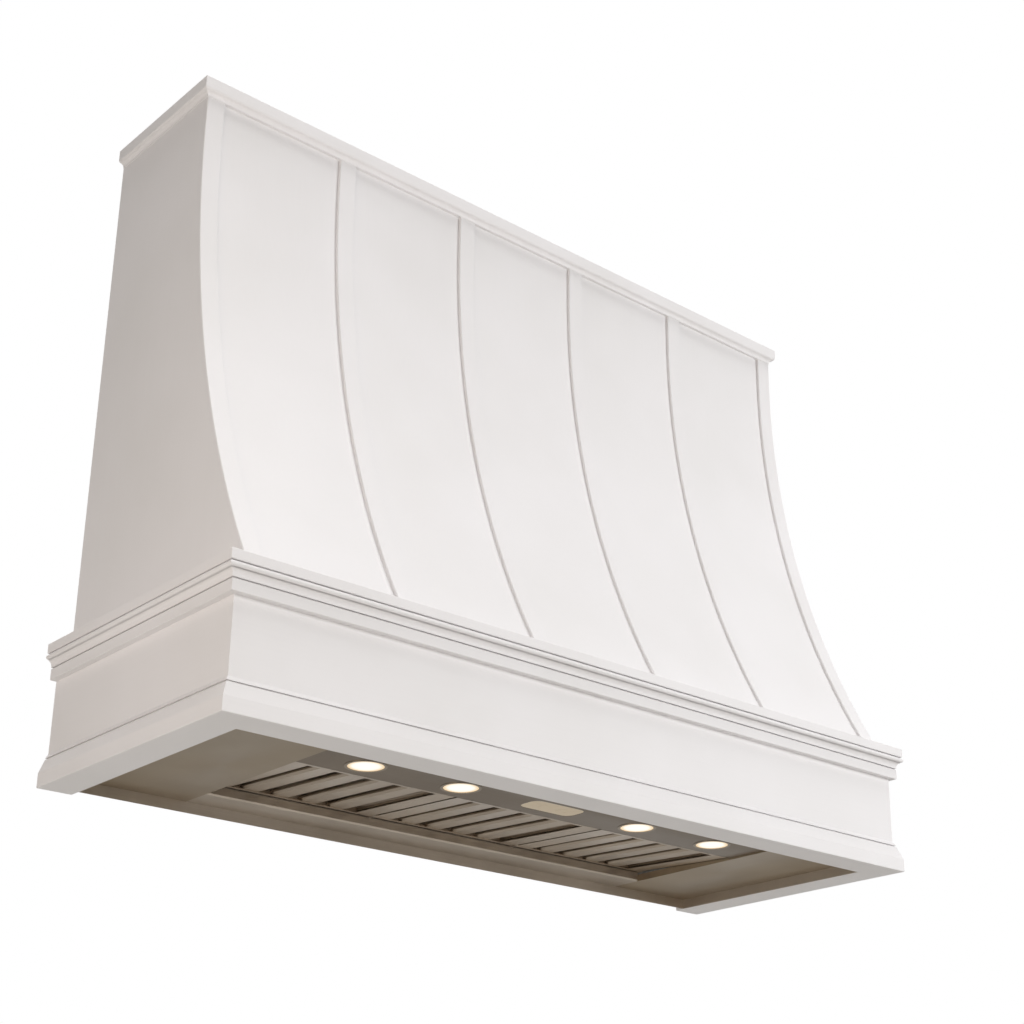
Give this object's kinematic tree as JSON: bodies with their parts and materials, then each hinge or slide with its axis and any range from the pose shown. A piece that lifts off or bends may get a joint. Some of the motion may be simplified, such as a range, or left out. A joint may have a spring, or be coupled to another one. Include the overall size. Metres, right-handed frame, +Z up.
{
  "type": "range hood cover",
  "caption": "Curved wooden range hood cover with vertical straps, crown and stepped mouldings, over a steel liner with baffle filters, lamps, push buttons and a blower.",
  "frame": {"origin": "middle of the width and depth, at the level of the rim's underside", "axes": "+X to the right along the front, +Y towards the wall, +Z up"},
  "size_m": [1.414, 0.521, 1.13],
  "materials": {
    "painted_wood": "satin off-white paint on hardwood and plywood",
    "plywood": "bare birch plywood",
    "brushed_steel": "brushed stainless sheet",
    "lamp_trim": "turned satin ring",
    "galvanised_steel": "galvanised sheet",
    "zinc_plated_steel": "zinc plated",
    "magnet": "dull sintered ferrite",
    "lamp_glass": "frosted diffuser, lit warm white",
    "cast_aluminium": "as cast",
    "control_plastic": "fine matt beige",
    "switch_plastic": "matt moulded",
    "motor_enamel": "semi-gloss enamel"
  },
  "bodies": {
    "cover": {"side_panel_left": "painted_wood", "side_panel_right": "painted_wood", "front_panel": "painted_wood", "strap_left_end": "painted_wood", "strap_left_outer": "painted_wood", "strap_left_inner": "painted_wood", "strap_right_inner": "painted_wood", "strap_right_outer": "painted_wood", "strap_right_end": "painted_wood", "crown_front": "painted_wood", "crown_left": "painted_wood", "crown_right": "painted_wood", "apron_front": "painted_wood", "apron_left": "painted_wood", "apron_right": "painted_wood", "waist_moulding_front": "painted_wood", "waist_moulding_left": "painted_wood", "waist_moulding_right": "painted_wood", "base_moulding_front": "painted_wood", "base_moulding_left": "painted_wood", "base_moulding_right": "painted_wood", "rim_rail_front": "painted_wood", "rim_rail_left": "painted_wood", "rim_rail_right": "painted_wood", "curved_ribs": "plywood", "top_rail_front": "plywood", "hanging_rail": "plywood", "rear_rail": "plywood", "shelf": "plywood", "liner_frame": "brushed_steel", "liner_panel_left": "brushed_steel", "liner_panel_right": "brushed_steel", "light_panel": "brushed_steel", "lamp_bezels": "lamp_trim", "plenum_box": "galvanised_steel", "blower_box": "galvanised_steel", "scroll_housing": "galvanised_steel", "duct_collar": "galvanised_steel", "damper_rod": "galvanised_steel", "liner_screws": "zinc_plated_steel", "filter_catches": "magnet", "lamp_lenses": "lamp_glass", "lamp_housings": "cast_aluminium", "control_plate": "control_plastic", "switch_box": "switch_plastic", "blower_motor": "motor_enamel"},
    "filter_left": {"filter_frame_left": "brushed_steel", "filter_baffles_left": "brushed_steel"},
    "filter_centre": {"filter_frame_centre": "brushed_steel", "filter_baffles_centre": "brushed_steel"},
    "filter_right": {"filter_frame_right": "brushed_steel", "filter_baffles_right": "brushed_steel"},
    "button_1": {"button_1": "control_plastic"},
    "button_2": {"button_2": "control_plastic"},
    "button_3": {"button_3": "control_plastic"},
    "button_4": {"button_4": "control_plastic"},
    "button_5": {"button_5": "control_plastic"},
    "blower_wheel": {"blower_wheel": "galvanised_steel"},
    "damper_flap_front": {"damper_flap_front": "galvanised_steel"},
    "damper_flap_rear": {"damper_flap_rear": "galvanised_steel"}
  },
  "joints": [
    {"name": "filter_left_swing", "type": "hinge", "parent": "cover", "child": "filter_left", "pos_m": [-0.30667, 0.1683, 0.04], "axis": [1, 0, 0], "range_deg": [0, 75]},
    {"name": "filter_centre_swing", "type": "hinge", "parent": "cover", "child": "filter_centre", "pos_m": [0, 0.1683, 0.04], "axis": [1, 0, 0], "range_deg": [0, 75]},
    {"name": "filter_right_swing", "type": "hinge", "parent": "cover", "child": "filter_right", "pos_m": [0.30667, 0.1683, 0.04], "axis": [1, 0, 0], "range_deg": [0, 75]},
    {"name": "button_1_press", "type": "slide", "parent": "cover", "child": "button_1", "axis": [0, 0, 1], "range_m": [0, 0.0015], "stiffness_N_per_m": 400, "springref_m": -0.0005},
    {"name": "button_2_press", "type": "slide", "parent": "cover", "child": "button_2", "axis": [0, 0, 1], "range_m": [0, 0.0015], "stiffness_N_per_m": 400, "springref_m": -0.0005},
    {"name": "button_3_press", "type": "slide", "parent": "cover", "child": "button_3", "axis": [0, 0, 1], "range_m": [0, 0.0015], "stiffness_N_per_m": 400, "springref_m": -0.0005},
    {"name": "button_4_press", "type": "slide", "parent": "cover", "child": "button_4", "axis": [0, 0, 1], "range_m": [0, 0.0015], "stiffness_N_per_m": 400, "springref_m": -0.0005},
    {"name": "button_5_press", "type": "slide", "parent": "cover", "child": "button_5", "axis": [0, 0, 1], "range_m": [0, 0.0015], "stiffness_N_per_m": 400, "springref_m": -0.0005},
    {"name": "blower_spin", "type": "hinge", "parent": "cover", "child": "blower_wheel", "pos_m": [0, 0.0525, 0.288], "axis": [1, 0, 0], "continuous": true},
    {"name": "damper_front_swing", "type": "hinge", "parent": "cover", "child": "damper_flap_front", "pos_m": [0, 0.1326, 0.462], "axis": [-1, 0, 0], "range_deg": [0, 75]},
    {"name": "damper_rear_swing", "type": "hinge", "parent": "cover", "child": "damper_flap_rear", "pos_m": [0, 0.1326, 0.462], "axis": [1, 0, 0], "range_deg": [0, 75]}
  ]
}
